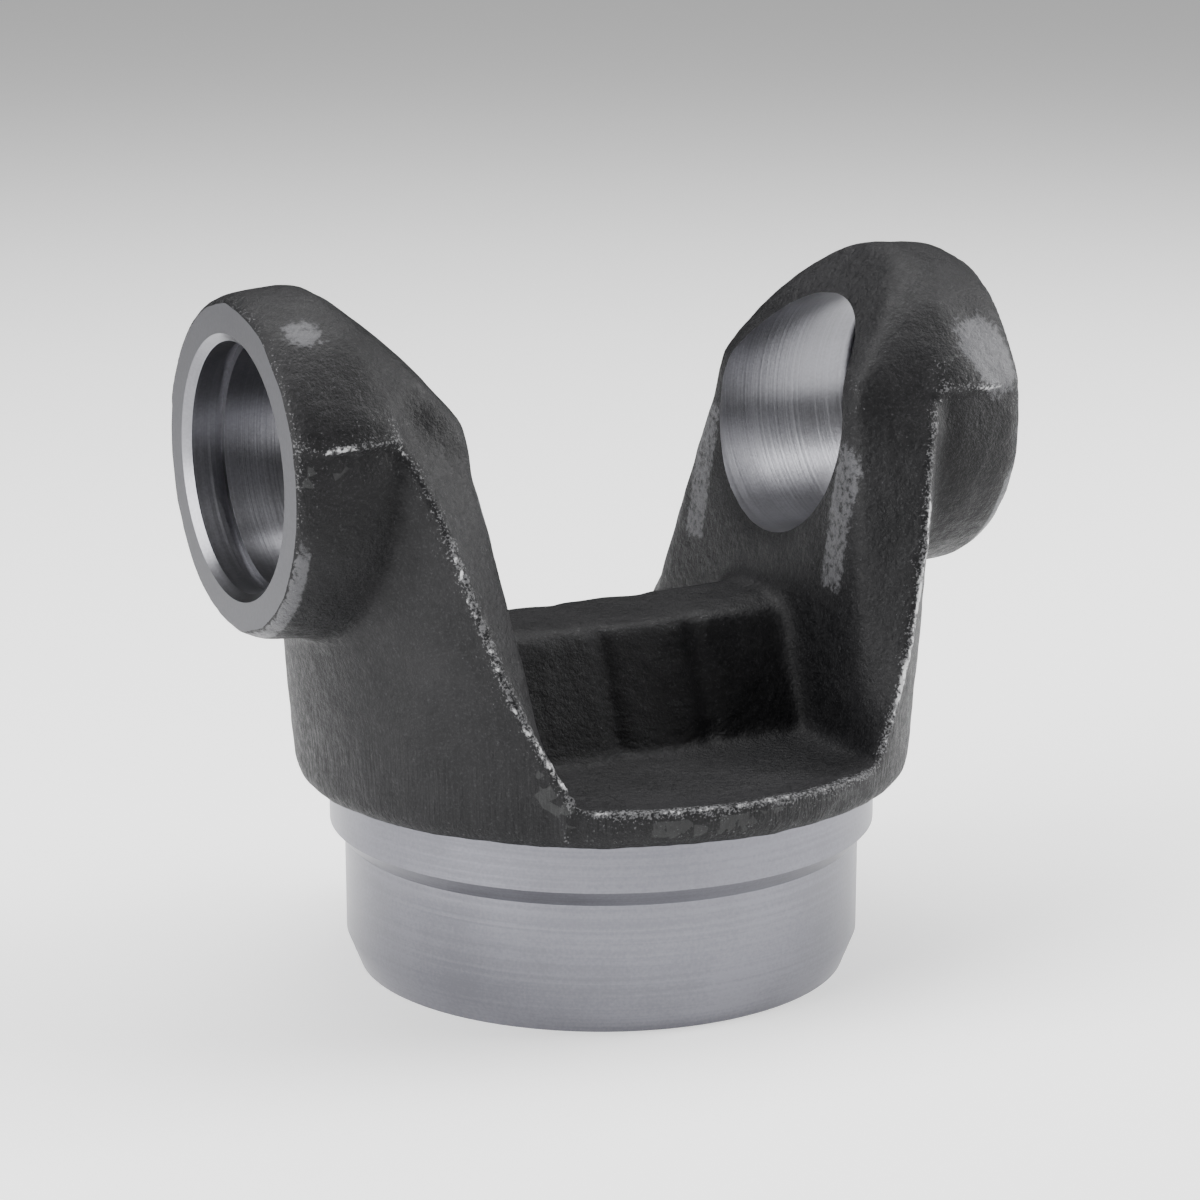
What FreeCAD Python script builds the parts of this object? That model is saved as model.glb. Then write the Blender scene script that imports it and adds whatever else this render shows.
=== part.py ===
import FreeCAD, Part
import os
import Sketcher

# Forged weld yoke of a propeller shaft: two drafted ears on a round flange,
# with a turned neck below that is pressed into the shaft tube and welded.
# Origin: middle of the neck's end face. Z runs up the shaft axis, X along the
# axis of the cross bores. Millimetres.

doc = FreeCAD.newDocument("tube_yoke")

# ---------------------------------------------------------------- driving sizes
SIZES = [
    # turned neck, from its end upwards
    ("neck_dia", 59.3, "diameter pressed into the tube"),
    ("neck_length", 15.0, "cylindrical neck with its lead-in"),
    ("lead_in_depth", 1.45, "radial depth of the lead-in at the neck's end"),
    ("lead_in_length", 3.7, "length of the lead-in"),
    ("shoulder_dia", 62.7, "weld shoulder, flush with the outside of the tube"),
    ("bevel_length", 1.95, "weld bevel between neck and shoulder"),
    ("shoulder_length", 5.9, "cylindrical weld shoulder"),
    # dished recess forged into the underside
    ("recess_dia", 46.0, "mouth of the recess"),
    ("recess_depth", 18.0, "depth of the recess"),
    ("recess_draft", 4.5, "radial draft over the depth of the recess"),
    ("recess_corner", 5.0, "radius at the bottom of the recess"),
    # flange
    ("flange_dia", 70.2, "across the drafted wall, just above the trim corner"),
    ("flange_lip", 0.8, "radial step back at the flange's lower corner"),
    ("flange_lip_height", 1.4, "height of that corner"),
    ("floor_height", 3.6, "floor beside the saddle, above the flange's lower edge"),
    ("rim_height", 4.5, "rim round the floor, above the flange's lower edge"),
    ("rim_width", 5.0, "radial width of the slope from rim to floor"),
    ("wall_draft", 4.0, "degrees that the outer wall leans out"),
    # saddle between the ears
    ("saddle_height", 18.6, "top of the saddle at the ears, above the flange's lower edge"),
    ("saddle_foot", 26.0, "width of the saddle at the floor"),
    ("saddle_shoulder", 14.0, "width where its faces turn into the crown"),
    ("saddle_crown", 1.3, "rise of the crown above that width"),
    ("saddle_dip", 1.0, "how far the top sags between the ears"),
    ("facet_depth", 0.9, "how far the three pads stand proud of the faces"),
    ("facet_groove", 2.2, "width of the grooves between the pads"),
    ("groove_left", -4.0, "first groove, from the middle"),
    ("groove_right", 7.6, "second groove, from the middle"),
    # ears
    ("bore_height", 38.3, "cross bores above the flange's lower edge"),
    ("ear_span", 89.2, "over the machined ends of the two bosses"),
    ("gap_root", 40.4, "gap between the ears at the saddle"),
    ("gap_bore", 46.0, "gap between the ears at the bores"),
    ("root_width", 63.0, "ear across its outer edges, in the flange"),
    ("root_inner_width", 51.0, "the same across its inner edges"),
    ("waist_height", 15.0, "level of the waist above the flange's lower edge"),
    ("waist_width", 54.6, "ear across its outer edges at the waist"),
    ("waist_inner_width", 45.2, "the same across its inner edges"),
    ("throat_height", 28.0, "level of the throat above the flange's lower edge"),
    ("throat_width", 48.4, "ear across its outer edges at the throat"),
    ("throat_inner_width", 38.0, "the same across its inner edges"),
    ("crest_height", 43.5, "trim level, where the plate of the ear ends"),
    ("crest_width", 36.0, "ear across its outer edges at the trim level"),
    ("crest_inner_width", 28.0, "the same across its inner edges"),
    ("boss_dia", 36.8, "boss at its machined end"),
    ("boss_crown_dia", 38.2, "boss where the top starts to slope down"),
    ("boss_root_dia", 32.0, "boss at the inner face"),
    ("boss_crown_depth", 8.6, "from the machined end to the start of the slope"),
    ("slope_belly", 0.7, "how far the sloping top bulges"),
    ("saddle_overlap", 2.0, "how far the saddle runs into each ear"),
    # machined cross bores
    ("bore_dia", 27.0, "bearing cap bore"),
    ("bore_chamfer", 0.85, "chamfer at the mouth"),
    ("ring_land", 2.2, "land between chamfer and snap-ring groove"),
    ("ring_groove_width", 1.6, "width of the snap-ring groove"),
    ("ring_groove_depth", 0.8, "radial depth of the snap-ring groove"),
]
sheet = doc.addObject("Spreadsheet::Sheet", "Sizes")
for row, (alias, value, meaning) in enumerate(SIZES, start=1):
    sheet.set("A%d" % row, alias)
    sheet.set("B%d" % row, str(value))
    sheet.set("C%d" % row, meaning)
    sheet.setAlias("B%d" % row, alias)
doc.recompute()

# ------------------------------------------------------------- sketching helpers
def value(expression):
    """Number that an expression on the sheet gives now."""
    return float(getattr(sheet.evalExpression(expression), "Value", sheet.evalExpression(expression)))


def sketch_on(body, name, role, offset="0"):
    """Sketch on one of the body's origin planes, moved along its normal."""
    plane = next(p for p in body.Origin.OriginFeatures if p.Role == role)
    sketch = body.newObject("Sketcher::SketchObject", name)
    sketch.AttachmentSupport = (plane, [""])
    sketch.MapMode = "FlatFace"
    sketch.AttachmentOffset = FreeCAD.Placement(
        FreeCAD.Vector(0, 0, value(offset)), FreeCAD.Rotation())
    sketch.setExpression("AttachmentOffset.Base.z", offset)
    return sketch


def pin(sketch, edge, end, x, y):
    """Bind one end of a sketch edge to two expressions."""
    for kind, place, axis in (("DistanceX", x, -2), ("DistanceY", y, -1)):
        if place == "0":
            sketch.addConstraint(Sketcher.Constraint("PointOnObject", edge, end, axis))
            continue
        number = sketch.addConstraint(
            Sketcher.Constraint(kind, -1, 1, edge, end, value(place)))
        sketch.setExpression("Constraints[%d]" % number, place)


def polygon(sketch, corners):
    """Closed outline whose corners are pairs of expressions."""
    points = [FreeCAD.Vector(value(x), value(y), 0) for x, y in corners]
    for start, end in zip(points, points[1:] + points[:1]):
        sketch.addGeometry(Part.LineSegment(start, end), False)
    count = len(corners)
    for edge, (x, y) in enumerate(corners):
        sketch.addConstraint(
            Sketcher.Constraint("Coincident", (edge - 1) % count, 2, edge, 1))
        pin(sketch, edge, 1, x, y)
    return sketch


def circle(sketch, x, y, radius):
    """Circle bound to expressions for its centre and radius."""
    centre = FreeCAD.Vector(value(x), value(y), 0)
    edge = sketch.addGeometry(
        Part.Circle(centre, FreeCAD.Vector(0, 0, 1), value(radius)), False)
    number = sketch.addConstraint(Sketcher.Constraint("Radius", edge, value(radius)))
    sketch.setExpression("Constraints[%d]" % number, radius)
    pin(sketch, edge, 3, x, y)
    return sketch


def turned(body, kind, name, sketch, axis="V_Axis"):
    """Full revolution or groove of a sketch about one of its own axes."""
    feature = body.newObject("PartDesign::" + kind, name)
    feature.Profile = sketch
    feature.ReferenceAxis = (sketch, [axis])
    feature.Angle = 360
    doc.recompute()
    return feature


def pad(body, name, sketch, length, midplane=False):
    feature = body.newObject("PartDesign::Pad", name)
    feature.Profile = sketch
    feature.Length = value(length)
    feature.setExpression("Length", length)
    feature.Midplane = midplane
    doc.recompute()
    return feature


def through(body, name, sketch):
    """Cut a sketch out of the whole body, both ways."""
    feature = body.newObject("PartDesign::Pocket", name)
    feature.Profile = sketch
    feature.Type = "ThroughAll"
    feature.Midplane = True
    doc.recompute()
    return feature


def edges_at(feature, radius, height):
    """Names of the level circles of one radius about Z at one height."""
    names = []
    for number, edge in enumerate(feature.Shape.Edges, start=1):
        middle = edge.valueAt((edge.FirstParameter + edge.LastParameter) / 2)
        level = abs(edge.BoundBox.ZLength) < 1e-4 and abs(middle.z - height) < 1e-4
        if level and abs((middle.x ** 2 + middle.y ** 2) ** 0.5 - radius) < 1e-4:
            names.append("Edge%d" % number)
    return names


def mirrored(body, name, originals):
    """Repeat features on the other side of the YZ plane."""
    plane = next(p for p in body.Origin.OriginFeatures if p.Role == "YZ_Plane")
    feature = body.newObject("PartDesign::Mirrored", name)
    feature.Originals = originals
    feature.MirrorPlane = (plane, [""])
    body.Tip = feature
    doc.recompute()
    return feature


# ------------------------------------------------------- levels used repeatedly
FLANGE = "(Sizes.neck_length + Sizes.bevel_length + Sizes.shoulder_length)"
BORE_Z = FLANGE + " + Sizes.bore_height"
FLOOR = FLANGE + " + Sizes.floor_height"
WALL_LEAN = "tan(Sizes.wall_draft * 1deg)"


def wall_radius(height):
    """Radius of the drafted outer wall at a height above the flange."""
    return "Sizes.flange_dia / 2 + (%s) * %s" % (height, WALL_LEAN)


body = doc.addObject("PartDesign::Body", "Yoke")
body.Label = "tube_yoke"

# ------------------------------------------------------------------ hub of the forging
hub_outline = sketch_on(body, "HubOutline", "XZ_Plane")
HUB_STOCK = wall_radius("Sizes.crest_height")
polygon(hub_outline, [
    ("0", "0"),
    ("Sizes.neck_dia / 2 - Sizes.lead_in_depth", "0"),
    ("Sizes.neck_dia / 2", "Sizes.lead_in_length"),
    ("Sizes.neck_dia / 2", "Sizes.neck_length"),
    ("Sizes.shoulder_dia / 2", "Sizes.neck_length + Sizes.bevel_length"),
    ("Sizes.shoulder_dia / 2", FLANGE),
    (HUB_STOCK, FLANGE),
    (HUB_STOCK, FLANGE + " + Sizes.rim_height"),
    ("Sizes.flange_dia / 2", FLANGE + " + Sizes.rim_height"),
    ("Sizes.flange_dia / 2 - Sizes.rim_width", FLOOR),
    ("0", FLOOR),
])
hub = turned(body, "Revolution", "Hub", hub_outline)

# ------------------------------------------------------------------------- saddle
GAP_HALF = "(Sizes.gap_root / 2 + Sizes.saddle_overlap)"
SADDLE_TOP = FLANGE + " + Sizes.saddle_height"


def saddle_outline(name, inset, start):
    """Cross-section of the saddle, drawn inside the outline of its pads."""
    sketch = sketch_on(body, name, "YZ_Plane", start)
    foot = "Sizes.saddle_foot / 2 - " + inset
    shoulder = "Sizes.saddle_shoulder / 2 - " + inset
    crown = "Sizes.saddle_shoulder / 4"
    level = SADDLE_TOP + " - Sizes.saddle_crown"
    base = FLANGE + " + Sizes.floor_height / 2"
    return polygon(sketch, [
        ("-(%s)" % foot, base), (foot, base), (foot, FLOOR), (shoulder, level),
        (crown, SADDLE_TOP), ("-(%s)" % crown, SADDLE_TOP),
        ("-(%s)" % shoulder, level), ("-(%s)" % foot, FLOOR),
    ])


saddle = pad(body, "Saddle", saddle_outline("SaddleOutline", "Sizes.facet_depth", "0"),
             "2 * (%s)" % GAP_HALF, midplane=True)
pad_edges = [
    "-(%s)" % GAP_HALF,
    "Sizes.groove_left - Sizes.facet_groove / 2", "Sizes.groove_left + Sizes.facet_groove / 2",
    "Sizes.groove_right - Sizes.facet_groove / 2", "Sizes.groove_right + Sizes.facet_groove / 2",
    GAP_HALF,
]
for number, (start, end) in enumerate(zip(pad_edges[0::2], pad_edges[1::2]), start=1):
    facet = saddle_outline("FacetOutline%d" % number, "0", start)
    pad(body, "Facet%d" % number, facet, "(%s) - (%s)" % (end, start))
dip_radius = "((Sizes.gap_root / 2)^2 + Sizes.saddle_dip^2) / (2 * Sizes.saddle_dip)"
dip_outline = circle(sketch_on(body, "DipOutline", "XZ_Plane"), "0",
                     "%s - Sizes.saddle_dip + %s" % (SADDLE_TOP, dip_radius), dip_radius)
through(body, "Dip", dip_outline)

# --------------------------------------------------------------------------- ears
STOCK = "(%s)" % wall_radius("Sizes.bore_height + Sizes.boss_dia / 2")
GAP_LEAN = "(Sizes.gap_bore - Sizes.gap_root) / 2 / (Sizes.bore_height - Sizes.waist_height)"
EAR_STATIONS = [
    ("Root", "Sizes.floor_height / 2", "Sizes.root_width / 2", "Sizes.root_inner_width / 2"),
    ("Waist", "Sizes.waist_height", "Sizes.waist_width / 2", "Sizes.waist_inner_width / 2"),
    ("Throat", "Sizes.throat_height", "Sizes.throat_width / 2", "Sizes.throat_inner_width / 2"),
    ("Crest", "Sizes.crest_height", "Sizes.crest_width / 2", "Sizes.crest_inner_width / 2"),
]


def ear_section(name, height, outer, inner):
    """Level section of the ear: inner face, two splayed sides and stock outside."""
    sketch = sketch_on(body, "Ear" + name, "XY_Plane", "%s + %s" % (FLANGE, height))
    lean = "max(0; %s - Sizes.waist_height) * %s" % (height, GAP_LEAN)
    face = "Sizes.gap_root / 2 + %s" % lean
    edge = "sqrt((%s)^2 - (%s)^2)" % (wall_radius(height), outer)
    return polygon(sketch, [
        (face, "-(%s)" % inner), (edge, "-(%s)" % outer), (STOCK, "-(%s)" % outer),
        (STOCK, outer), (edge, outer), (face, inner),
    ])


sections = [ear_section(*station) for station in EAR_STATIONS]
doc.recompute()
ear = body.newObject("PartDesign::AdditiveLoft", "Ear")
ear.Profile = sections[0]
ear.Sections = sections[1:]
ear.Ruled = False
doc.recompute()
mirrored(body, "EarPair", [ear])

# ---------------------------------------------------------------- drafted outer wall
BEYOND = STOCK + " * 1.5"
wall_outline = polygon(sketch_on(body, "WallOutline", "XZ_Plane"), [
    ("Sizes.flange_dia / 2 - Sizes.flange_lip", FLANGE + " - Sizes.flange_lip_height / 2"),
    ("Sizes.flange_dia / 2 - Sizes.flange_lip", FLANGE),
    (wall_radius("Sizes.flange_lip_height"), FLANGE + " + Sizes.flange_lip_height"),
    (wall_radius("Sizes.crest_height * 1.5"), FLANGE + " + Sizes.crest_height * 1.5"),
    (BEYOND, FLANGE + " + Sizes.crest_height * 1.5"),
    (BEYOND, FLANGE + " - Sizes.flange_lip_height / 2"),
])
wall = turned(body, "Groove", "Wall", wall_outline)

# ------------------------------------------------------------------------- bosses
BOSS_END = "Sizes.ear_span / 2"
CROWN_X = BOSS_END + " - Sizes.boss_crown_depth"
CREST_Z = FLANGE + " + Sizes.crest_height"
CREST_X = "Sizes.gap_root / 2 + (Sizes.crest_height - Sizes.waist_height) * " + GAP_LEAN


def bore_sketch(name, corners):
    """Outline in the XZ plane with the bore's axis as its turning axis."""
    sketch = polygon(sketch_on(body, name, "XZ_Plane"), corners)
    start = FreeCAD.Vector(0, value(BORE_Z), 0)
    end = FreeCAD.Vector(value(BOSS_END), value(BORE_Z), 0)
    line = sketch.addGeometry(Part.LineSegment(start, end), True)
    pin(sketch, line, 1, "0", BORE_Z)
    pin(sketch, line, 2, BOSS_END, BORE_Z)
    return sketch


def above_bore(radius):
    return "%s + %s" % (BORE_Z, radius)


boss_outline = bore_sketch("BossOutline", [
    (CREST_X, BORE_Z),
    (CREST_X, above_bore("Sizes.boss_root_dia / 2")),
    (CROWN_X, above_bore("Sizes.boss_crown_dia / 2")),
    (BOSS_END, above_bore("Sizes.boss_dia / 2")),
    (BOSS_END, BORE_Z),
])
boss = turned(body, "Revolution", "Boss", boss_outline, "Axis0")
slope_outline = polygon(sketch_on(body, "SlopeOutline", "XZ_Plane"), [
    (CREST_X, CREST_Z),
    ("(%s + %s) / 2" % (CREST_X, CROWN_X),
     "(%s + %s) / 2 + Sizes.slope_belly" % (CREST_Z, above_bore("Sizes.boss_crown_dia / 2"))),
    (CROWN_X, above_bore("Sizes.boss_crown_dia / 2")),
    (CROWN_X, above_bore("Sizes.boss_crown_dia")),
    ("0", above_bore("Sizes.boss_crown_dia")),
    ("0", CREST_Z),
])
slope = through(body, "Slope", slope_outline)
mirrored(body, "BossPair", [boss, slope])

# ------------------------------------------------------------- machined cross bores
RIM = "Sizes.bore_dia / 2"
LAND_X = BOSS_END + " - Sizes.bore_chamfer"
GROOVE_X = LAND_X + " - Sizes.ring_land"
GROOVE_END = GROOVE_X + " - Sizes.ring_groove_width"
bore_outline = bore_sketch("BoreOutline", [
    ("0", BORE_Z), ("0", above_bore(RIM)),
    (GROOVE_END, above_bore(RIM)),
    (GROOVE_END, above_bore(RIM + " + Sizes.ring_groove_depth")),
    (GROOVE_X, above_bore(RIM + " + Sizes.ring_groove_depth")),
    (GROOVE_X, above_bore(RIM)),
    (LAND_X, above_bore(RIM)),
    (BOSS_END, above_bore(RIM + " + Sizes.bore_chamfer")),
    (BOSS_END + " + Sizes.bore_chamfer", above_bore(RIM + " + Sizes.bore_chamfer")),
    (BOSS_END + " + Sizes.bore_chamfer", BORE_Z),
])
bore = turned(body, "Groove", "Bore", bore_outline, "Axis0")
mirrored(body, "BorePair", [bore])

# -------------------------------------------------------- recess in the underside
recess_outline = polygon(sketch_on(body, "RecessOutline", "XZ_Plane"), [
    ("0", "0"), ("Sizes.recess_dia / 2", "0"),
    ("Sizes.recess_dia / 2 - Sizes.recess_draft", "Sizes.recess_depth"),
    ("0", "Sizes.recess_depth"),
])
recess = turned(body, "Groove", "Recess", recess_outline)
corner = body.newObject("PartDesign::Fillet", "RecessCorner")
corner.Base = (recess, edges_at(recess, value("Sizes.recess_dia / 2 - Sizes.recess_draft"),
                                value("Sizes.recess_depth")))
corner.Radius = value("Sizes.recess_corner")
corner.setExpression("Radius", "Sizes.recess_corner")

# ------------------------------------------------------------------ check and write
doc.recompute()
for thing in doc.Objects:
    if "Invalid" in thing.State or "Error" in thing.State:
        raise RuntimeError("%s failed: %s" % (thing.Name, thing.State))
shape = body.Shape
if shape.isNull() or not shape.isValid():
    raise RuntimeError("no valid solid")
os.makedirs("parts", exist_ok=True)
shape.exportStep("parts/%s.step" % body.Label)
print("volume mm3 %.0f, solids %d" % (shape.Volume, len(shape.Solids)))
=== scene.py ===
from math import cos, pi, radians, sin, sqrt, tan

import bmesh
import bpy
import numpy as np
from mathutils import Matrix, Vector, kdtree, noise


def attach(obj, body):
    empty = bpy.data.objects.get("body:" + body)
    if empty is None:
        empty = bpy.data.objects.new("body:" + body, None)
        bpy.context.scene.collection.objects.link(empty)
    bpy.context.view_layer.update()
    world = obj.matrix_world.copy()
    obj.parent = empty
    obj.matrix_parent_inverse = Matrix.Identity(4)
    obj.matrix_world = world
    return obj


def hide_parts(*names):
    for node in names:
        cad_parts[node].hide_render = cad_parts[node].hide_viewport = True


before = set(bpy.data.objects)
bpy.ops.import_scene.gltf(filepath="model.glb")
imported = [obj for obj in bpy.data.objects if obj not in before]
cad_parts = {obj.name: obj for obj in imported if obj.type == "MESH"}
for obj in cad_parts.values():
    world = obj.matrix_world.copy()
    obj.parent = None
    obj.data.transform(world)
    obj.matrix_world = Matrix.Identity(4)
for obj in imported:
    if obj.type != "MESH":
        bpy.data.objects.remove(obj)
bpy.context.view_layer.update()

MM = 0.001


# ------------------------------------------------------------------ forged blank
# Drop-forged medium-carbon steel, one piece: two ears, the saddle between them,
# the flange and the stub that becomes the neck. The dies close along the shaft's
# axis, so the flash is trimmed along the outline seen from above.
BORE_Z = 61.15                  # cross bores, mm above the neck's end
BORE_RADIUS = 13.5
EAR_END = 44.6                  # machined boss ends, from the middle
BOSS_TOP = 80.2
FLANGE_Z = 22.85                # lower edge of the flange
WALL_RADIUS = 35.1              # drafted outer wall at that edge
WALL_DRAFT = 4.0
VOXEL = 0.56
PLUG_RADIUS = BORE_RADIUS + 1.1
PLUG_START = 18.0


def mesh_object(name, mesh):
    piece = bpy.data.objects.new(name, mesh)
    bpy.context.scene.collection.objects.link(piece)
    return piece


def settled(piece):
    """Apply a piece's modifiers to its mesh and remove them."""
    bpy.context.view_layer.update()
    graph = bpy.context.evaluated_depsgraph_get()
    result = bpy.data.meshes.new_from_object(
        piece.evaluated_get(graph), preserve_all_data_layers=True, depsgraph=graph)
    result.name = piece.name
    piece.modifiers.clear()
    piece.data = result
    return piece


def lathe(name, outline, centre=(0, 0, 0), axis="Z", side=1, steps=192):
    """Closed solid turned from an outline of (radius, distance along the axis) in mm."""
    shape = bmesh.new()
    rings = []
    for radius, along in outline:
        if radius == 0:
            spots = [(0.0, 0.0)]
        else:
            turns = [2 * pi * step / steps for step in range(steps)]
            spots = [(radius * cos(turn), radius * sin(turn)) for turn in turns]
        ring = []
        for across, up in spots:
            if axis == "Z":
                place = (across, up, along)
            else:
                place = (along * side, across, up)
            ring.append(shape.verts.new([(c + p) * MM for c, p in zip(centre, place)]))
        rings.append(ring)
    for first, second in zip(rings, rings[1:] + rings[:1]):
        if len(first) == 1 and len(second) == 1:
            continue
        for step in range(steps):
            following = (step + 1) % steps
            corners = [first[step % len(first)], first[following % len(first)],
                       second[following % len(second)], second[step % len(second)]]
            face = []
            for corner in corners:
                if corner not in face:
                    face.append(corner)
            shape.faces.new(face)
    bmesh.ops.recalc_face_normals(shape, faces=shape.faces)
    mesh = bpy.data.meshes.new(name)
    shape.to_mesh(mesh)
    shape.free()
    return mesh_object(name, mesh)


def slab(name, outline, half_width):
    """Closed solid whose outline in the XZ plane, in mm, runs across Y."""
    shape = bmesh.new()
    near = [shape.verts.new((x * MM, -half_width * MM, z * MM)) for x, z in outline]
    far = [shape.verts.new((x * MM, half_width * MM, z * MM)) for x, z in outline]
    shape.faces.new(near)
    shape.faces.new(far[::-1])
    for spot in range(len(outline)):
        following = (spot + 1) % len(outline)
        shape.faces.new([near[spot], far[spot], far[following], near[following]])
    bmesh.ops.recalc_face_normals(shape, faces=shape.faces)
    mesh = bpy.data.meshes.new(name)
    shape.to_mesh(mesh)
    shape.free()
    return mesh_object(name, mesh)


def joined(piece, tool, operation):
    """Add, cut away or keep what is common with another solid, which is used up."""
    modifier = piece.modifiers.new(operation, "BOOLEAN")
    modifier.operation = operation
    modifier.solver = "EXACT"
    modifier.material_mode = "TRANSFER"
    modifier.object = tool
    settled(piece)
    bpy.data.objects.remove(tool)
    return piece


blank_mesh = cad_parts["tube_yoke"].data.copy()
blank_mesh.materials.clear()
merged = bmesh.new()
merged.from_mesh(blank_mesh)
bmesh.ops.remove_doubles(merged, verts=merged.verts, dist=1e-6)
merged.to_mesh(blank_mesh)
merged.free()
yoke = mesh_object("forged_yoke", blank_mesh)
# The bores are filled up to the ears' own faces, so that the skin runs across
# them and the boring tool later leaves a clean edge.
EAR_PROFILE = [(21.3, 30), (23.8, 66.35), (30.2, 74.2), (36.0, BOSS_TOP), (EAR_END, BOSS_TOP),
               (EAR_END, 30)]
for side in (1, -1):
    plug = lathe("plug", [(0, PLUG_START), (PLUG_RADIUS, PLUG_START), (PLUG_RADIUS, EAR_END),
                          (0, EAR_END)], (0, 0, BORE_Z), "X", side)
    face = slab("plug_face", [(side * x, z) for x, z in EAR_PROFILE], 20)
    joined(plug, face, "INTERSECT")
    joined(yoke, plug, "UNION")

remesh = yoke.modifiers.new("Forging skin", "REMESH")
remesh.mode = "VOXEL"
remesh.voxel_size = VOXEL * MM
remesh.adaptivity = 0
settled(yoke)


def points_of(mesh):
    places = np.empty(len(mesh.vertices) * 3)
    mesh.vertices.foreach_get("co", places)
    return places.reshape(-1, 3) / MM


def set_points(mesh, places):
    mesh.vertices.foreach_set("co", (places * MM).ravel())
    mesh.update()


def edges_of(mesh):
    ends = np.empty(len(mesh.edges) * 2, dtype=np.int32)
    mesh.edges.foreach_get("vertices", ends)
    return ends.reshape(-1, 2)


def normals_of(mesh):
    directions = np.empty(len(mesh.vertices) * 3)
    mesh.vertices.foreach_get("normal", directions)
    return directions.reshape(-1, 3)


def mean_of_neighbours(values, ends):
    size = len(values)
    links = np.bincount(ends.ravel(), minlength=size)
    columns = []
    for column in values.reshape(size, -1).T:
        total = np.bincount(ends[:, 0], column[ends[:, 1]], size)
        total += np.bincount(ends[:, 1], column[ends[:, 0]], size)
        columns.append(total / links)
    return np.array(columns).T.reshape(values.shape)


def relaxed(places, ends, rounds, weight):
    """Round off a surface as a forging's dies do, by moving points to their neighbours' mean."""
    for _ in range(rounds):
        places = places + weight * (mean_of_neighbours(places, ends) - places)
    return places


def between(low, high, values):
    """Smooth step from 0 at low to 1 at high, which may be the smaller."""
    share = np.clip((values - low) / (high - low), 0, 1)
    return share * share * (3 - 2 * share)


def grain(places, scale, seed):
    """Smooth noise of about -1 to 1 with features of that size in mm."""
    return np.array([noise.noise(Vector((x, y, z)) / scale + Vector((seed, seed, seed)))
                     for x, y, z in places])


def wall_at(height):
    """Radius of the drafted outer wall at a height above the flange's edge."""
    return WALL_RADIUS + height * tan(radians(WALL_DRAFT))


# Edges inside the wall and round the bosses are rounded most, the trimmed outline
# least, and the saddle keeps its pads and grooves.
EDGE_ROUNDS = 5
SOFT_ROUNDS = 24
HALF_WAY = 0.5
SADDLE_CRISPNESS = 0.8
skin = yoke.data
places = points_of(skin)
ends = edges_of(skin)
height = places[:, 2] - FLANGE_Z
inside_wall = wall_at(height) - np.hypot(places[:, 0], places[:, 1])
places = relaxed(places, ends, EDGE_ROUNDS, HALF_WAY)
across = np.abs(places[:, 0])
soft = between(1.0, 2.5, inside_wall) * between(1.5, 3.5, height)
round_boss = between(8.0, 14.0, height) * between(28.0, 31.0, across)
soft = np.maximum(soft, round_boss * between(1.5, -1.5, inside_wall))
soft *= 1 - SADDLE_CRISPNESS * between(20.5, 18.5, across) * between(3.0, 5.0, height)
places = relaxed(places, ends, SOFT_ROUNDS, HALF_WAY * soft[:, None])
set_points(skin, places)

# The flash line, as (height above the flange, half-width of an ear), then out
# along the boss to its end. Between the ears it is the rim of the flange.
EAR_TRIM = [(6.9, 29.6), (11.2, 28.1), (16.6, 26.3), (21.9, 25.2), (27.1, 23.9), (33.5, 22.8),
            (38.5, 21.0), (41.5, 19.3), (43.5, 17.6)]
RIM_HEIGHT = 4.5
RIM_REACH = (35.4, 31.0)
LEDGE_HEIGHT = 43.3
LEDGE_REACH = 1.0
SPOTS_PER_RUN = 16
quarter = [(sqrt(max(wall_at(RIM_HEIGHT) ** 2 - y * y, 0)), y, RIM_HEIGHT)
           for y in np.linspace(*RIM_REACH, 12)]
quarter += [(sqrt(wall_at(z) ** 2 - y * y), y, z) for z, y in EAR_TRIM]
quarter += [(37.0, 18.6, LEDGE_HEIGHT), (EAR_END, 18.9, LEDGE_HEIGHT - 0.8)]
trim_points = []
for x_side in (1, -1):
    for y_side in (1, -1):
        for first, second in zip(quarter, quarter[1:]):
            for share in np.linspace(0, 1, SPOTS_PER_RUN, endpoint=False):
                spot = [a + (b - a) * share for a, b in zip(first, second)]
                trim_points.append((spot[0] * x_side, spot[1] * y_side, spot[2] + FLANGE_Z))


def distance_to(points, places):
    """Distance in mm from each place to the nearest of the points."""
    tree = kdtree.KDTree(len(points))
    for number, point in enumerate(points):
        tree.insert(point, number)
    tree.balance()
    return np.array([tree.find(place)[2] for place in places])


def bulge(places, centre, reach):
    """Smooth hump of height 1 round a point."""
    return np.exp(-((places - np.array(centre)) ** 2).sum(1) / reach ** 2)


# The die parting leaves a ledge along each boss, which fades towards its end.
places = points_of(skin)
directions = normals_of(skin)
height = places[:, 2] - FLANGE_Z
across = np.abs(places[:, 0])
on_boss = between(31.0, 34.0, across) * between(14.0, 17.0, np.abs(places[:, 1]))
on_boss *= 1 - 0.75 * between(37.0, 44.0, across)
above = height - LEDGE_HEIGHT
ledge = on_boss * between(-1.1, 0.1, above) * (1 - between(0.5, 7.0, above))
places[:, 1] += np.sign(places[:, 1]) * LEDGE_REACH * ledge

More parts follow.
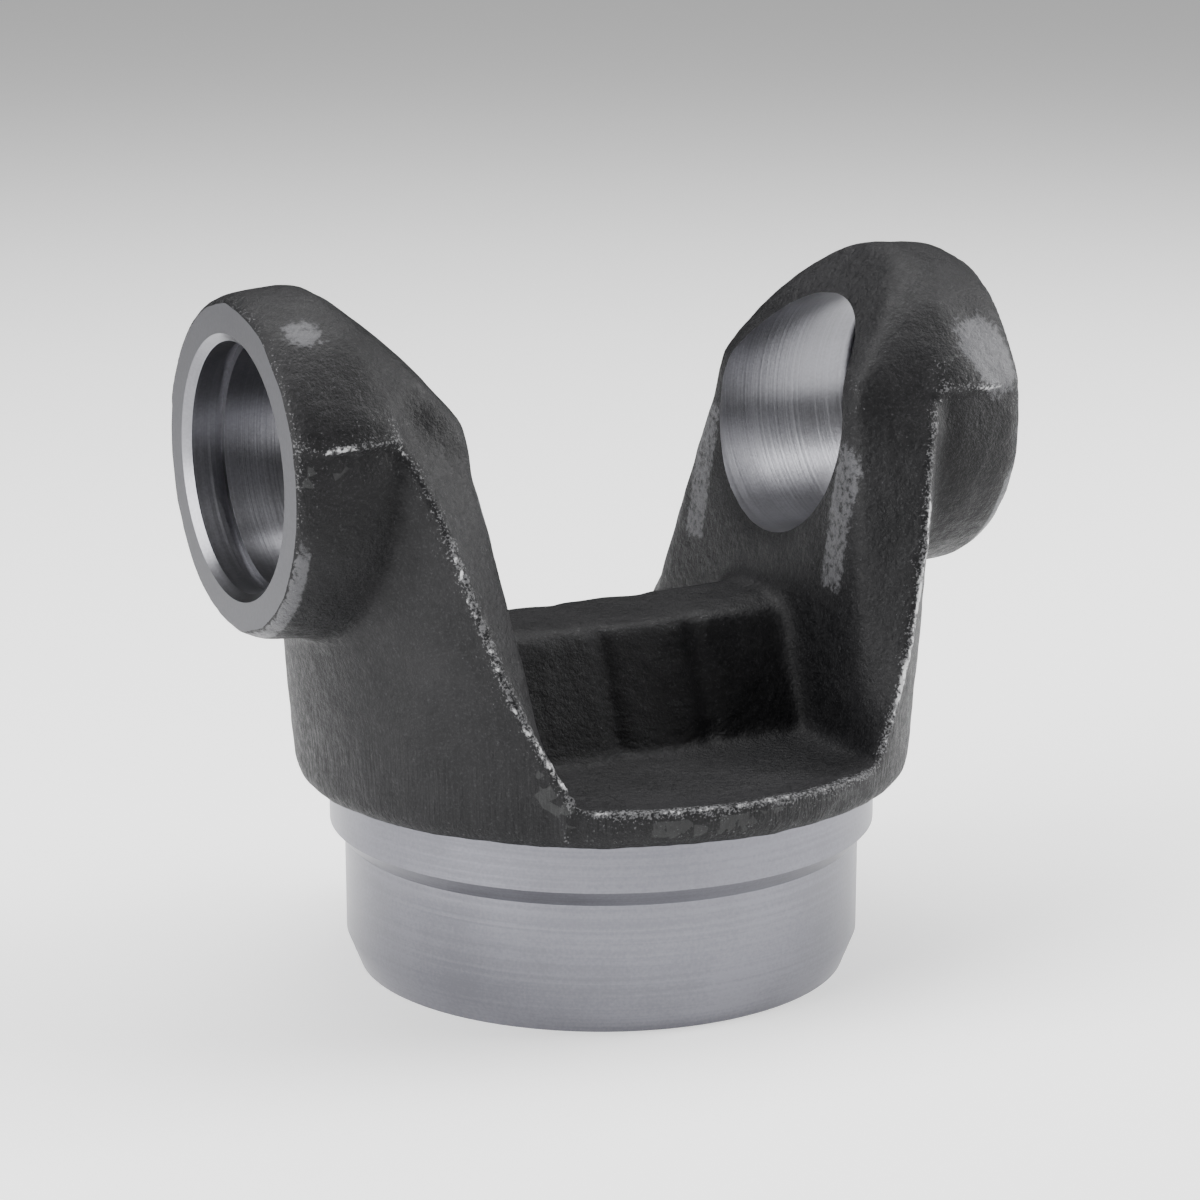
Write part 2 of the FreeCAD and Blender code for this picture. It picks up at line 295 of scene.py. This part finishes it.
# Uneven skin, the crumbled flash that stays after trimming, three die dents, and
# the vertical scar on the flange. Reliefs and reaches are in mm.
DENTS = [(0.9, (-30.2, -17.6, 68.2), 2.2), (0.5, (31.0, 16.9, 67.4), 2.6),
         (0.35, (-33.0, -14.0, 40.0), 5.0)]
SCAR_X, SCAR_Y = -19.6, -29.1
FLASH_WIDTH = 0.6
to_trim = distance_to(trim_points, places)
relief = 0.11 * grain(places, 6.0, 3.1) + 0.07 * grain(places, 2.2, 7.7)
crumbs = 0.20 + 0.22 * grain(places, 1.6, 5.5)
relief += crumbs * np.exp(-(to_trim / FLASH_WIDTH) ** 2)
for depth, centre, reach in DENTS:
    relief -= depth * bulge(places, centre, reach)
scar = np.exp(-(np.hypot(places[:, 0] - SCAR_X, places[:, 1] - SCAR_Y) / FLASH_WIDTH) ** 2)
relief += 0.35 * scar * between(6.5, 5.5, height) * between(0.0, 0.6, height)
places += directions * relief[:, None]

# Stock left on for the cuts: round the neck, under its end and on the boss ends.
NECK_STOCK = 0.5
BOSS_STOCK = 0.4
radius = np.hypot(places[:, 0], places[:, 1])
turned_zone = between(0.3, -0.3, places[:, 2] - FLANGE_Z) * between(26.0, 27.5, radius)
places[:, :2] *= (1 + NECK_STOCK * turned_zone / np.maximum(radius, 1))[:, None]
places[:, 2] -= NECK_STOCK * between(1.0, 0.2, places[:, 2])
places[:, 0] += BOSS_STOCK * np.sign(places[:, 0]) * between(43.4, 44.2, np.abs(places[:, 0]))
set_points(skin, places)


# ----------------------------------------------------------------- forging scale
# The forging keeps the near-black oxide scale of its last heat. It is sandy to the
# touch and scraped bright along the flash line. Painted highlights lighten the bosses'
# tops and outer faces, and lighter strips run inside the ears.
class Signal:
    """One output of a shader's nodes, with arithmetic that adds Math nodes."""

    def __init__(self, shader, socket):
        self.shader = shader
        self.socket = socket

    def maths(self, operation, *others):
        return self.shader.node("ShaderNodeMath", {"operation": operation},
                                dict(enumerate((self,) + others)))

    def __add__(self, other):
        return self.maths("ADD", other)

    def __sub__(self, other):
        return self.maths("SUBTRACT", other)

    def __mul__(self, other):
        return self.maths("MULTIPLY", other)

    def __rsub__(self, other):
        return (self * -1) + other

    __radd__ = __add__
    __rmul__ = __mul__


class Finish:
    """A material built on one Principled BSDF."""

    def __init__(self, name, **constants):
        self.material = bpy.data.materials.new(name)
        self.material.use_nodes = True
        self.nodes = self.material.node_tree.nodes
        self.links = self.material.node_tree.links
        self.surface = self.nodes["Principled BSDF"]
        for socket, constant in constants.items():
            self.surface.inputs[socket.replace("_", " ")].default_value = constant

    def node(self, kind, settings=None, inputs=None, output=0):
        """Add a node: its settings first, then the values or links of its sockets."""
        made = self.nodes.new(kind)
        for name, setting in (settings or {}).items():
            setattr(made, name, setting)
        for name, given in (inputs or {}).items():
            self.feed(made.inputs[name], given)
        return Signal(self, made.outputs[output])

    def feed(self, socket, given):
        if isinstance(given, Signal):
            self.links.new(given.socket, socket)
        else:
            socket.default_value = given

    def put(self, name, given):
        self.feed(self.surface.inputs[name], given)

    def place(self):
        return self.node("ShaderNodeTexCoord", output="Object")

    def stretched(self, scale):
        return self.node("ShaderNodeMapping", None, {"Vector": self.place(), "Scale": scale})

    def noise(self, size, detail=3, roughness=0.5, vector=None):
        """Noise with features of that size in mm."""
        return self.node("ShaderNodeTexNoise", None, {
            "Vector": vector or self.place(), "Scale": 1 / (size * MM), "Detail": detail,
            "Roughness": roughness})

    def step(self, signal, low, high):
        return self.node("ShaderNodeMapRange", {"interpolation_type": "SMOOTHSTEP"},
                         {"Value": signal, "From Min": low, "From Max": high})

    def blend(self, share, first, second):
        return self.node("ShaderNodeMix", {"data_type": "RGBA"},
                         {"Factor": share, 6: first, 7: second}, 2)

    def attribute(self, name):
        return self.node("ShaderNodeAttribute", {"attribute_name": name}, output="Fac")

    def bump(self, height, strength, distance, normal=None):
        inputs = {"Height": height, "Strength": strength, "Distance": distance * MM}
        if normal is not None:
            inputs["Normal"] = normal
        return self.node("ShaderNodeBump", None, inputs)


scale = Finish("forging_scale", IOR=1.45, Specular_IOR_Level=0.22)
flash = scale.attribute("flash")
edge_wear = scale.attribute("wear")
highlights_and_strips = scale.attribute("highlights_and_strips")
hammered = scale.attribute("hammered")
sand = scale.noise(0.28, 3, 0.65)
speckle = scale.noise(0.75, 4, 0.65)
patches = scale.noise(8.0, 3, 0.55)
cells = scale.node("ShaderNodeTexVoronoi", {"feature": "F1"},
                   {"Vector": scale.place(), "Scale": 1 / (1.3 * MM)}, "Color")
facets = scale.node("ShaderNodeSeparateColor", None, {"Color": cells})
scraped = scale.step(flash + (speckle - 0.5) * 1.7 + (patches - 0.5) * 0.8, 0.52, 0.85)
flecks = scale.step(edge_wear * 0.22 + scale.attribute("near") * 0.10 + sand, 0.74, 0.84)
# Painted highlight: the lamp-lit patches on the bosses, with the strips inside the ears, take a
# lighter, shinier colour.
shine = scale.step(highlights_and_strips + (speckle - 0.5) * 1.1, 0.42, 0.72)
struck = scale.step(hammered * facets + (speckle - 0.5) * 0.3, 0.42, 0.52)
black = scale.blend(scale.step(patches * 0.6 + speckle * 0.4, 0.3, 0.7),
                    (0.0025, 0.0025, 0.0030, 1), (0.0080, 0.0078, 0.0086, 1))
black = scale.blend(scale.step(sand, 0.50, 0.78) * 0.60, black, (0.034, 0.034, 0.036, 1))
black = scale.blend(struck * 0.45, black, (0.040, 0.041, 0.041, 1))
# Painted highlight colour on the lit boss patches and the lighter strips.
black = scale.blend(shine * 0.8, black, (0.085, 0.085, 0.090, 1))
black = scale.blend(flecks * 0.55, black, (0.15, 0.15, 0.155, 1))
scale.put("Base Color", scale.blend(scraped, black, (0.42, 0.42, 0.425, 1)))
scale.put("Roughness", scale.step(speckle, 0.25, 0.75) * 0.22 + 0.42 - shine * 0.10)
scale.put("Metallic", scraped * 0.55 + shine * 0.25)
draw_lines = scale.noise(1.0, 3, 0.6, scale.stretched((2.2, 2.2, 0.06)))
skin_height = sand * 0.35 + speckle * 0.9 + scale.attribute("drawn") * draw_lines * 0.9
scale.put("Normal", scale.bump(skin_height, 1.0, 0.20, scale.bump(scale.noise(2.6, 2), 0.5, 0.35)))
yoke.data.materials.clear()
yoke.data.materials.append(scale.material)

# ------------------------------------------------------------------- turned neck
# The stub is turned to the press-in diameter, with a lead-in at its end, a weld
# bevel and the weld shoulder under the flange. The cut leaves fine tool lines.
def turned_steel(name, direction, colour, roughness):
    """Machined steel. Fine tool lines run square to the direction, if it isn't zero."""
    steel = Finish(name, Metallic=1.0)
    lines = steel.noise(1.0, 2, 0.6, steel.stretched([2.6 if c else 0.015 for c in direction]))
    cloud = steel.noise(9.0, 3, 0.5)
    fleck = steel.noise(0.35, 2, 0.5)
    steel.put("Base Color", steel.blend(
        steel.step(cloud * 0.35 + lines * 0.35 + fleck * 0.3, 0.36, 0.62),
        (*[c * 0.80 for c in colour], 1), (*colour, 1)))
    steel.put("Roughness", (cloud - 0.5) * 0.12 + (lines - 0.5) * 0.1 + roughness)
    steel.put("Normal", steel.bump(lines, 0.6, 0.03, steel.bump(fleck, 0.25, 0.03)))
    return steel.material


neck_finish = turned_steel("turned_neck", (0, 0, 1), (0.175, 0.175, 0.197), 0.36)
NECK_RADIUS = 29.65
NECK_LENGTH = 15.0
LEAD_IN = (28.2, 3.7)           # radius at the end, and length
SHOULDER_RADIUS = 31.35
BEVEL_END = 16.95
CLEAR = 60.0                    # well outside the forging
BELOW = -5.0
neck_tool = lathe("neck_tool", [
    (0, BELOW), (CLEAR, BELOW), (CLEAR, FLANGE_Z), (SHOULDER_RADIUS, FLANGE_Z),
    (SHOULDER_RADIUS, BEVEL_END), (NECK_RADIUS, NECK_LENGTH), (NECK_RADIUS, LEAD_IN[1]),
    (LEAD_IN[0], 0.0), (0, 0.0)], steps=256)
neck_tool.data.materials.append(neck_finish)
joined(yoke, neck_tool, "DIFFERENCE")

# -------------------------------------------------- bores and ring faces of the ears
# Each ear is bored for a bearing cap in one line with the other, chamfered at the
# mouth and grooved for the snap ring. The boss ends are faced square to the bores.
bore_finish = turned_steel("bored_steel", (1, 0, 0), (0.20, 0.20, 0.215), 0.32)
face_finish = turned_steel("faced_steel", (0, 0, 0), (0.085, 0.085, 0.094), 0.46)
GROOVE_RADIUS = 14.3
GROOVE = (39.95, 41.55)         # snap-ring groove, from the middle
CHAMFER_START = 43.75
CHAMFER = 1.1
OUTSIDE = 50.0
FACING_RADIUS = 30.0
BORE_START = 12.0               # inside the ear's inner face
for side in (1, -1):
    ring_tool = lathe("ring_tool", [
        (0, EAR_END), (FACING_RADIUS, EAR_END), (FACING_RADIUS, OUTSIDE), (0, OUTSIDE)],
        (0, 0, BORE_Z), "X", side, 128)
    ring_tool.data.materials.append(face_finish)
    joined(yoke, ring_tool, "DIFFERENCE")
    bore_tool = lathe("bore_tool", [
        (0, BORE_START), (BORE_RADIUS, BORE_START), (BORE_RADIUS, GROOVE[0]),
        (GROOVE_RADIUS, GROOVE[0]), (GROOVE_RADIUS, GROOVE[1]), (BORE_RADIUS, GROOVE[1]),
        (BORE_RADIUS, CHAMFER_START), (BORE_RADIUS + CHAMFER, CHAMFER_START + CHAMFER),
        (0, CHAMFER_START + CHAMFER)],
        (0, 0, BORE_Z), "X", side, 192)
    bore_tool.data.materials.append(bore_finish)
    joined(yoke, bore_tool, "DIFFERENCE")

# ----------------------------------------------------------------- handling wear and painted highlights
# Marks on the scale, which its finish reads from the mesh: scraped flash, worn
# corners, painted highlights on the bosses, lighter strips inside the ears and by the
# ring faces, small facets beside the flash, and draw lines from the dies.
skin = yoke.data
places = points_of(skin)
ends = edges_of(skin)
directions = normals_of(skin)
FULLY_PROUD = 0.05              # mm that a corner stands above its neighbours
hollow = np.einsum("ij,ij->i", mean_of_neighbours(places, ends) - places, directions)
proud = np.clip(-hollow / FULLY_PROUD, -1, 1)
for _ in range(2):
    proud = 0.5 * proud + 0.5 * mean_of_neighbours(proud, ends)
height = places[:, 2] - FLANGE_Z
to_trim = distance_to(trim_points, places)
outside = between(-1.0, -0.2, np.hypot(places[:, 0], places[:, 1]) - wall_at(height))
breaks = 0.5 + 0.5 * grain(places, 7.0, 9.4)
# Painted highlights where the lamps fall on the tops and outer faces of the bosses, as (share,
# centre, reach).
PAINTED_HIGHLIGHTS = [(1.0, (39.8, -16.3, 70.5), 4.2), (0.75, (41.5, -17.6, 66.9), 3.0),
                  (0.8, (-40.5, -10.5, 77.0), 3.2), (0.8, (-36, 9, 78), 4)]
boss_highlight = sum(share * bulge(places, centre, reach) for share, centre, reach in PAINTED_HIGHLIGHTS)
across = np.abs(places[:, 0])
half_width = np.abs(places[:, 1])
# Lighter strips on the ears' inner faces, and a lighter band beside each ring face.
strips = between(24.6, 23.4, across) * between(12.0, 18.0, height) * between(19, 22, height)
strips *= between(12.6, 13.6, half_width) * between(19.0, 17.0, half_width)
strips *= between(40, 36, height)
near_ring = between(42.4, 43.4, across) * between(44.59, 44.5, across)
near_ring *= between(38.0, 30.0, height)
beside_flash = between(0.8, 1.6, to_trim) * between(4.2, 2.8, to_trim)
marks = {
    "flash": np.exp(-(to_trim / FLASH_WIDTH) ** 2) * (0.50 + 0.60 * breaks),
    "near": np.exp(-(to_trim / 3.2) ** 2),
    "wear": np.clip(proud, 0, 1),
    "highlights_and_strips": np.clip(boss_highlight + 0.62 * strips + 0.75 * near_ring, 0, 1),
    "hammered": outside * beside_flash * between(0.45, 0.65, breaks),
    "drawn": outside * between(14.0, 6.0, height),
}
for name, strength in marks.items():
    layer = skin.attributes.new(name, "FLOAT", "POINT")
    layer.data.foreach_set("value", strength.astype(np.float32))
# Forged and turned faces shade smoothly, with a hard edge wherever two cuts or
# a cut and the scale meet.
for polygon in skin.polygons:
    polygon.use_smooth = True
skin.set_sharp_from_angle(angle=radians(28))
shape = bmesh.new()
shape.from_mesh(skin)
for edge in shape.edges:
    if len({face.material_index for face in edge.link_faces}) > 1:
        edge.smooth = False
shape.to_mesh(skin)
shape.free()
skin.validate()
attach(yoke, "root")
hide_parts("tube_yoke")

# ------------------------------------------------------------------------ studio
# A pale paper floor under soft boxes to the left, the right and above, with the
# side towards the camera left darker.
floor_shape = bmesh.new()
bmesh.ops.create_grid(floor_shape, x_segments=8, y_segments=8, size=3.0)
floor_mesh = bpy.data.meshes.new("floor")
floor_shape.to_mesh(floor_mesh)
floor_shape.free()
floor = mesh_object("floor", floor_mesh)
paper = Finish("pale_paper", Roughness=0.9, Emission_Color=(1, 1, 1, 1), Emission_Strength=0.42)
paper.put("Base Color", (0.84, 0.84, 0.84, 1))
floor.data.materials.append(paper.material)


def soft_box(name, place, target, size, power):
    light = bpy.data.lights.new(name, "AREA")
    light.shape = "RECTANGLE"
    light.size, light.size_y = size
    light.energy = power
    lamp = bpy.data.objects.new(name, light)
    bpy.context.scene.collection.objects.link(lamp)
    lamp.location = place
    lamp.rotation_euler = (Vector(target) - Vector(place)).to_track_quat("-Z", "Y").to_euler()


soft_box("left_box", (-0.55, -0.05, 0.28), (0, 0, 0.05), (0.45, 0.5), 8)
soft_box("right_box", (0.50, -0.15, 0.30), (0, 0, 0.05), (0.35, 0.5), 7)
soft_box("top_box", (0.0, 0.15, 0.65), (0, 0, 0.04), (0.7, 0.5), 8)
world = bpy.data.worlds.new("studio")
world.use_nodes = True
sky = world.node_tree.nodes
direction = sky.new("ShaderNodeTexCoord")
towards_back = sky.new("ShaderNodeVectorMath")
towards_back.operation = "DOT_PRODUCT"
towards_back.inputs[1].default_value = (0.42, 0.80, 0.42)
glow = sky.new("ShaderNodeMapRange")
glow.inputs["From Min"].default_value = -0.7
glow.inputs["From Max"].default_value = 0.8
glow.inputs["To Min"].default_value = 0.30
glow.inputs["To Max"].default_value = 1.35
world.node_tree.links.new(direction.outputs["Generated"], towards_back.inputs[0])
world.node_tree.links.new(towards_back.outputs["Value"], glow.inputs["Value"])
world.node_tree.links.new(glow.outputs["Result"], sky["Background"].inputs["Strength"])
bpy.context.scene.world = world

# The camera looks slightly down on the front, from the left.
camera_data = bpy.data.cameras.new("camera")
camera_data.sensor_width = 36
camera_data.lens = 103.5
camera_data.shift_x = -0.001
camera_data.shift_y = 0.133
camera_data.clip_start = 0.01
camera = bpy.data.objects.new("camera", camera_data)
bpy.context.scene.collection.objects.link(camera)
camera.location = (-0.1798, -0.3374, 0.1334)
aim = Vector((0, 0, 0.02285))
camera.rotation_euler = (aim - camera.location).to_track_quat("-Z", "Y").to_euler()
bpy.context.scene.camera = camera
